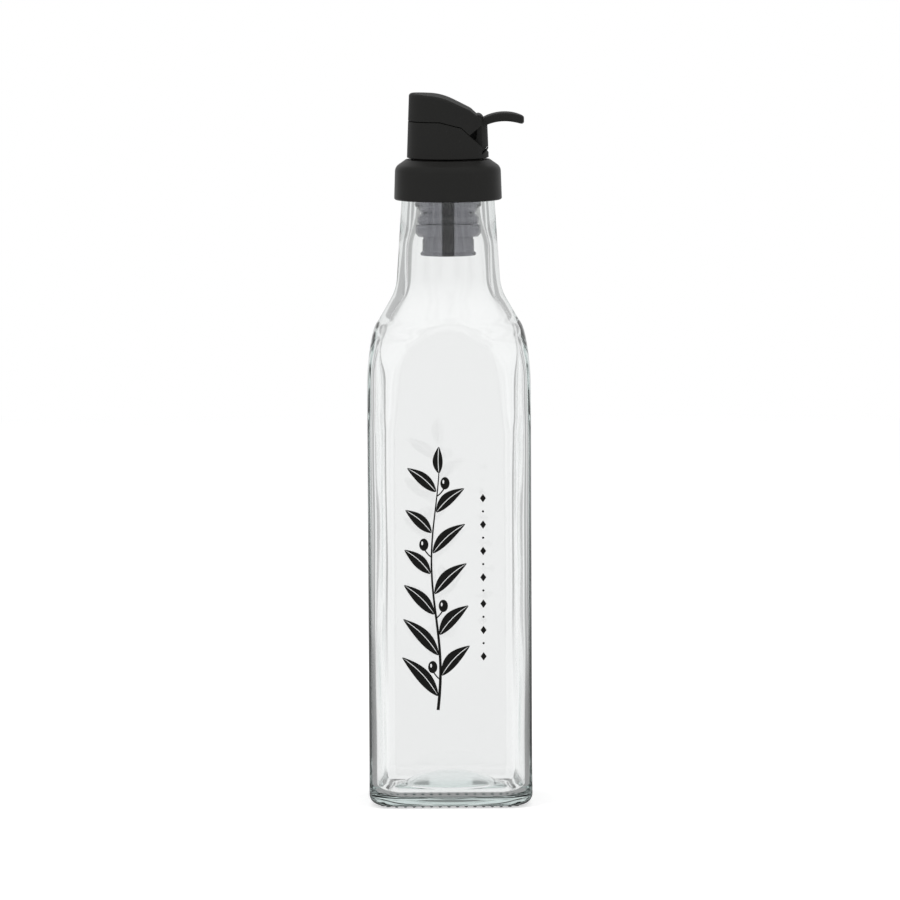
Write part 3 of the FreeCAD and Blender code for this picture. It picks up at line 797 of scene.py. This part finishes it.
class OILBOTTLE_OT_stopper(bpy.types.Operator):
    """Finish the grey stopper and its dark tube"""
    bl_idname = "oilbottle.stopper"
    bl_label = "Stopper and tube"

    def execute(self, context):
        settings = context.scene.oil_cap
        grey, tree, shader = material("stopper plastic")
        shader.inputs["Base Color"].default_value = settings.stopper
        shader.inputs["IOR"].default_value = 1.12
        shader.inputs["Transmission Weight"].default_value = settings.stopper_clearness
        shader.inputs["Coat Weight"].default_value = 0.4
        shader.inputs["Coat Roughness"].default_value = 0.2
        grained(tree, shader, 900.0, 0.06, 0.1, 0.1)
        smoked, tree, shader = material("tube plastic")
        shader.inputs["IOR"].default_value = PLASTIC_IOR
        place = tree.nodes.new("ShaderNodeTexCoord")
        split = tree.nodes.new("ShaderNodeSeparateXYZ")
        tree.links.new(place.outputs["Object"], split.inputs[0])
        off = reckon(tree, "ABSOLUTE", reckon(tree, "SUBTRACT", split.outputs["Z"], settings.band_height))
        band = tree.nodes.new("ShaderNodeValToRGB")
        for element, shade in zip(band.color_ramp.elements, (settings.tube_band, settings.tube)):
            element.color = shade
        tree.links.new(value_map(tree, off, 0.0010, 0.0014, 0.0, 1.0), band.inputs["Fac"])
        tree.links.new(band.outputs["Color"], shader.inputs["Base Color"])
        grained(tree, shader, 1200.0, 0.22, 0.3, 0.06)
        refinish({"stopper": grey, "pour_tube": smoked})
        return {"FINISHED"}


class OILBOTTLE_OT_cap(bpy.types.Operator):
    """Finish the collar, the pourer body, the lid and the hinge pin"""
    bl_idname = "oilbottle.cap"
    bl_label = "Collar, pourer and lid"

    def execute(self, context):
        settings = context.scene.oil_cap
        refinish({
            "collar": black_plastic("collar plastic", settings),
            "pourer_body": black_plastic("pourer plastic", settings, POURER_DULL),
            "flip_lid": black_plastic("lid plastic", settings, LID_DULL),
            "hinge_pin": black_plastic("pin plastic", settings, POURER_DULL),
        })
        return {"FINISHED"}


# ---- hinge pieces, in millimetres and degrees ----------------------------------------------
POURER_RADIUS = 15.54
POURER_CORNER = 245.45
POURER_TAPER = 0.036
LIP_LOW = 247.2
LIP_CLEARANCE = 7.98
LIP_ROOT = 8.4
LIP_HALF = 7.5
LIP_INSET = 0.02
CHEEKS = ((-7.9, -3.72), (3.72, 7.9))
CHEEK_TURN = (18.0, 100.0)
CHEEK_RADIUS = 7.55
CHEEK_MOST = 7.9
CHEEK_HOLE = 2.3
CHEEK_INSET = 0.3


class OILBOTTLE_OT_hinge(bpy.types.Operator):
    """Fill the lid's back with two cheeks and raise a lip behind its tongue"""
    bl_idname = "oilbottle.hinge"
    bl_label = "Hinge cheeks and lip"

    def execute(self, context):
        settings = context.scene.oil_cap
        joint = next(joint for joint in frame["joints"] if joint["name"] == "lid_hinge")
        self.pin = Vector(joint["pos_m"]) / MM
        self.swing = joint["range_deg"][1]
        lid = black_plastic("cheek plastic", settings, HINGE_DULL)
        for name, (low, high) in zip(("hinge_cheek_front", "hinge_cheek_back"), CHEEKS):
            finish_piece(name, self.cheek(low, high), lid, LID)
        pourer = black_plastic("lip plastic", settings, HINGE_DULL)
        finish_piece("pourer_lip", self.lip(), pourer, BOTTLE)
        return {"FINISHED"}

    def outline(self, y, z):
        """How far back the pourer's tapered outline reaches at y and z."""
        radius = POURER_RADIUS - (z - POURER_CORNER) * POURER_TAPER
        return math.sqrt(radius ** 2 - y * y)

    def spot(self, y, radius, turn):
        """Point at an angle in degrees from straight below the pin, held inside the outline."""
        angle = math.radians(turn)
        z = self.pin.z - radius * math.cos(angle)
        return Vector((min(self.pin.x + radius * math.sin(angle), self.outline(y, z) - CHEEK_INSET), y, z))

    def cheek(self, low, high):
        """Plate round the pin that clears the pourer's pocket while the lid swings."""
        turns = steps(*CHEEK_TURN, 16) + [CHEEK_TURN[1]]
        rings = []
        for y in steps(low, high, 6) + [high]:
            ring = []
            for turn in turns:
                past = math.radians(max(turn - self.swing, 0.0))
                ring.append(self.spot(y, min(CHEEK_RADIUS / math.cos(past), CHEEK_MOST), turn))
            ring += [self.spot(y, CHEEK_HOLE, turn) for turn in reversed(turns)]
            rings.append(ring)
        return skin(rings)

    def swept(self, radius, z):
        """How far back a circle round the pin reaches at z."""
        return self.pin.x + math.sqrt(radius ** 2 - (z - self.pin.z) ** 2)

    def lip(self):
        """Crescent on the pourer's back wall, hollowed on the tongue's swing."""
        rings = []
        for y in steps(-LIP_HALF, LIP_HALF, 24) + [LIP_HALF]:
            low, high = LIP_LOW, self.pin.z
            for _ in range(30):
                middle = (low + high) / 2
                if self.swept(LIP_CLEARANCE, middle) < self.outline(y, middle) - LIP_INSET:
                    low = middle
                else:
                    high = middle
            up = steps(LIP_LOW, low, 8)
            backs = [min(self.outline(y, z) - LIP_INSET, self.swept(LIP_ROOT, z)) for z in up]
            ring = [Vector((x, y, z)) for x, z in zip(backs, up)]
            ring += [Vector((self.swept(LIP_CLEARANCE, z), y, z)) for z in [low] + up[::-1]]
            rings.append(ring)
        return skin(rings)


# ---- stage --------------------------------------------------------------------------------
GLASS_BOUNCES = 24  # light guided inside a glass wall turns many times
FLAGS = 8
RIM_FLAGS = 4
ONE_WALL = 2.5  # surfaces passed, fewer where light has gone through one wall only
BACKDROP = (0.45, 1.0)  # shares towards the back between which mirrored light changes
FOOT_FADE = (0.25, 0.8)  # metres from the axis between which the flags set in


class OILBOTTLE_OT_stage(bpy.types.Operator):
    """Set the floor, the lamps, the room and the camera"""
    bl_idname = "oilbottle.stage"
    bl_label = "Stage"

    def execute(self, context):
        settings = context.scene.oil_stage
        self.floor(settings)
        self.room(context.scene, settings)
        self.lamps(settings)
        self.camera(context.scene, settings)
        context.scene.view_settings.view_transform = "Standard"
        for field in ("max_bounces", "glossy_bounces", "transmission_bounces"):
            setattr(context.scene.cycles, field, GLASS_BOUNCES)
        return {"FINISHED"}

    def turned(self, tree, place, count):
        """Angle from the nearest of count evenly spaced half-way directions round the bottle."""
        split = tree.nodes.new("ShaderNodeSeparateXYZ")
        tree.links.new(place, split.inputs[0])
        turn = reckon(tree, "ARCTAN2", split.outputs["Y"], split.outputs["X"])
        share = reckon(tree, "FRACT", reckon(tree, "MULTIPLY", turn, count / (2 * math.pi)))
        off = reckon(tree, "ABSOLUTE", reckon(tree, "SUBTRACT", share, 0.5))
        return reckon(tree, "MULTIPLY", off, 2 * math.pi / count)

    def behind(self, tree, path, place, near, settings):
        """Brightness seen through the glass; near is 1 close to the foot, where the flags fade."""
        half, soft = settings.flag_width / 2, settings.flag_soft
        angle = self.turned(tree, place, FLAGS)
        grey = value_map(tree, angle, half - soft, half + soft, settings.flag_tone, 1.0)
        # Painted shade on the glass's rims: light that crossed fewer than ONE_WALL surfaces sees its own
        # darker flags and is dimmed by the rim share.
        corner = reckon(tree, "ABSOLUTE", reckon(tree, "SUBTRACT", self.turned(tree, place, RIM_FLAGS),
                                                 settings.rim_flag))
        black = value_map(tree, corner, half - soft, half + soft, settings.rim_flag_tone, 1.0)
        short = reckon(tree, "LESS_THAN", path.outputs["Transmission Depth"], ONE_WALL)
        long = rest_of(tree, short)
        flags = reckon(tree, "ADD", reckon(tree, "MULTIPLY", short, black),
                       reckon(tree, "MULTIPLY", long, grey))
        far = rest_of(tree, near)
        room = reckon(tree, "ADD", near, reckon(tree, "MULTIPLY", far, flags))
        span = settings.rim_far - settings.rim_near
        rim = reckon(tree, "SUBTRACT", settings.rim_far, reckon(tree, "MULTIPLY", near, span))
        rim_painted_shade = reckon(tree, "MULTIPLY", short, rest_of(tree, rim))
        return reckon(tree, "MULTIPLY", room, rest_of(tree, rim_painted_shade))

    def seen(self, tree, path, place, near, direct, settings):
        """Strength of a surface's own light: direct to a viewer, mirrored, or seen through glass."""
        deep = reckon(tree, "GREATER_THAN", path.outputs["Transmission Depth"], 0.5)
        camera = reckon(tree, "MULTIPLY", path.outputs["Is Camera Ray"], direct)
        way = tree.nodes.new("ShaderNodeVectorMath")
        way.operation = "NORMALIZE"
        tree.links.new(place, way.inputs[0])
        split = tree.nodes.new("ShaderNodeSeparateXYZ")
        tree.links.new(way.outputs["Vector"], split.inputs[0])
        shown = value_map(tree, split.outputs["Y"], *BACKDROP, settings.mirrored, settings.mirrored_back)
        mirror = reckon(tree, "MULTIPLY", path.outputs["Is Glossy Ray"], shown)
        plain = reckon(tree, "MULTIPLY", rest_of(tree, deep),
                       reckon(tree, "MAXIMUM", camera, mirror))
        either = reckon(tree, "MAXIMUM", path.outputs["Is Transmission Ray"], path.outputs["Is Glossy Ray"])
        glass = reckon(tree, "MULTIPLY", reckon(tree, "MULTIPLY", deep, either),
                       self.behind(tree, path, place, near, settings))
        return reckon(tree, "MAXIMUM", glass, plain), deep

    def floor(self, settings):
        bm = bmesh.new()
        bmesh.ops.create_circle(bm, cap_ends=True, segments=128, radius=settings.floor_size)
        mesh = bpy.data.meshes.new("floor")
        bm.to_mesh(mesh)
        bm.free()
        made, tree, shader = material("floor paper")
        path = tree.nodes.new("ShaderNodeLightPath")
        place = tree.nodes.new("ShaderNodeTexCoord")
        spread = tree.nodes.new("ShaderNodeVectorMath")
        spread.operation = "LENGTH"
        tree.links.new(place.outputs["Object"], spread.inputs[0])
        near = value_map(tree, spread.outputs["Value"], *FOOT_FADE, 1.0, 0.0)
        seen, deep = self.seen(tree, path, place.outputs["Object"], near, settings.floor_glow, settings)
        hidden = reckon(tree, "MAXIMUM", deep, path.outputs["Is Glossy Ray"])
        paper = reckon(tree, "MULTIPLY", rest_of(tree, hidden), settings.floor_tone)
        shader.inputs["Roughness"].default_value = 0.9
        shader.inputs["Specular IOR Level"].default_value = 0.0
        shader.inputs["Emission Color"].default_value = (1.0, 1.0, 1.0, 1.0)
        tree.links.new(seen, shader.inputs["Emission Strength"])
        tree.links.new(paper, shader.inputs["Base Color"])
        mesh.materials.append(made)
        plane = bpy.data.objects.new("floor", mesh)
        bpy.context.scene.collection.objects.link(plane)

    def room(self, scene, settings):
        world = bpy.data.worlds.new("studio room")
        world.use_nodes = True
        tree = world.node_tree
        back = tree.nodes["Background"]
        path = tree.nodes.new("ShaderNodeLightPath")
        place = tree.nodes.new("ShaderNodeTexCoord")
        back.inputs["Color"].default_value = (1.0, 1.0, 1.0, 1.0)
        seen, _ = self.seen(tree, path, place.outputs["Generated"], 0.0, 1.0, settings)
        lit = reckon(tree, "MULTIPLY", path.outputs["Is Diffuse Ray"], settings.room)
        tree.links.new(reckon(tree, "MAXIMUM", seen, lit), back.inputs["Strength"])
        scene.world = world

    def lamps(self, settings):
        spots = (
            ("left softbox", (-0.9, -0.7, 0.75), (0.5, 0.9), settings.side_lamp),
            ("right softbox", (0.95, -0.55, 0.7), (0.4, 0.9), settings.side_lamp * 0.8),
            ("top softbox", (0.0, 0.1, 1.3), (0.9, 0.6), settings.top_lamp),
        )
        for name, place, size, power in spots:
            lamp = bpy.data.lights.new(name, "AREA")
            lamp.shape = "RECTANGLE"
            lamp.size, lamp.size_y = size
            lamp.energy = power
            holder = bpy.data.objects.new(name, lamp)
            holder.location = place
            holder.visible_glossy = False
            holder.visible_transmission = False
            aim = Vector((0, 0, 0.17)) - Vector(place)
            holder.rotation_euler = aim.to_track_quat("-Z", "Y").to_euler()
            bpy.context.scene.collection.objects.link(holder)

    def camera(self, scene, settings):
        lens = bpy.data.cameras.new("camera")
        lens.lens = settings.focal
        lens.sensor_width = 36.0
        lens.shift_x = settings.shift_x
        lens.shift_y = settings.shift_y
        holder = bpy.data.objects.new("camera", lens)
        holder.location = (0, -settings.camera_distance, settings.camera_height)
        aim = Vector((0, 0, settings.aim_height)) - holder.location
        turn = aim.to_track_quat("-Z", "Y").to_matrix() @ Matrix.Rotation(-settings.roll, 3, "Z")
        holder.rotation_euler = turn.to_euler()
        scene.collection.objects.link(holder)
        scene.camera = holder


class OILBOTTLE_PT_panel(bpy.types.Panel):
    """Buttons and sizes of the oil bottle"""
    bl_label = "Oil bottle"
    bl_idname = "OILBOTTLE_PT_panel"
    bl_space_type = "VIEW_3D"
    bl_region_type = "UI"
    bl_category = "Oil bottle"

    def draw(self, context):
        for operator in OPERATORS:
            self.layout.operator(operator.bl_idname)
        for name in SETTINGS:
            box = self.layout.box()
            group = getattr(context.scene, name)
            for field in group.__annotations__:
                box.prop(group, field)


OPERATORS = (OILBOTTLE_OT_glass, OILBOTTLE_OT_print, OILBOTTLE_OT_stopper, OILBOTTLE_OT_cap,
             OILBOTTLE_OT_hinge, OILBOTTLE_OT_stage)
SETTINGS = {"oil_glass": GlassSettings, "oil_print": PrintSettings, "oil_cap": CapSettings,
            "oil_stage": StageSettings}


def register():
    for group in SETTINGS.values():
        bpy.utils.register_class(group)
    for name, group in SETTINGS.items():
        setattr(bpy.types.Scene, name, PointerProperty(type=group))
    for operator in OPERATORS:
        bpy.utils.register_class(operator)
    bpy.utils.register_class(OILBOTTLE_PT_panel)


def unregister():
    bpy.utils.unregister_class(OILBOTTLE_PT_panel)
    for operator in reversed(OPERATORS):
        bpy.utils.unregister_class(operator)
    for name, group in SETTINGS.items():
        delattr(bpy.types.Scene, name)
        bpy.utils.unregister_class(group)


def main():
    register()
    bpy.ops.oilbottle.glass()
    bpy.ops.oilbottle.print()
    bpy.ops.oilbottle.stopper()
    bpy.ops.oilbottle.cap()
    bpy.ops.oilbottle.hinge()
    bpy.ops.oilbottle.stage()


if __name__ == "__main__":
    main()
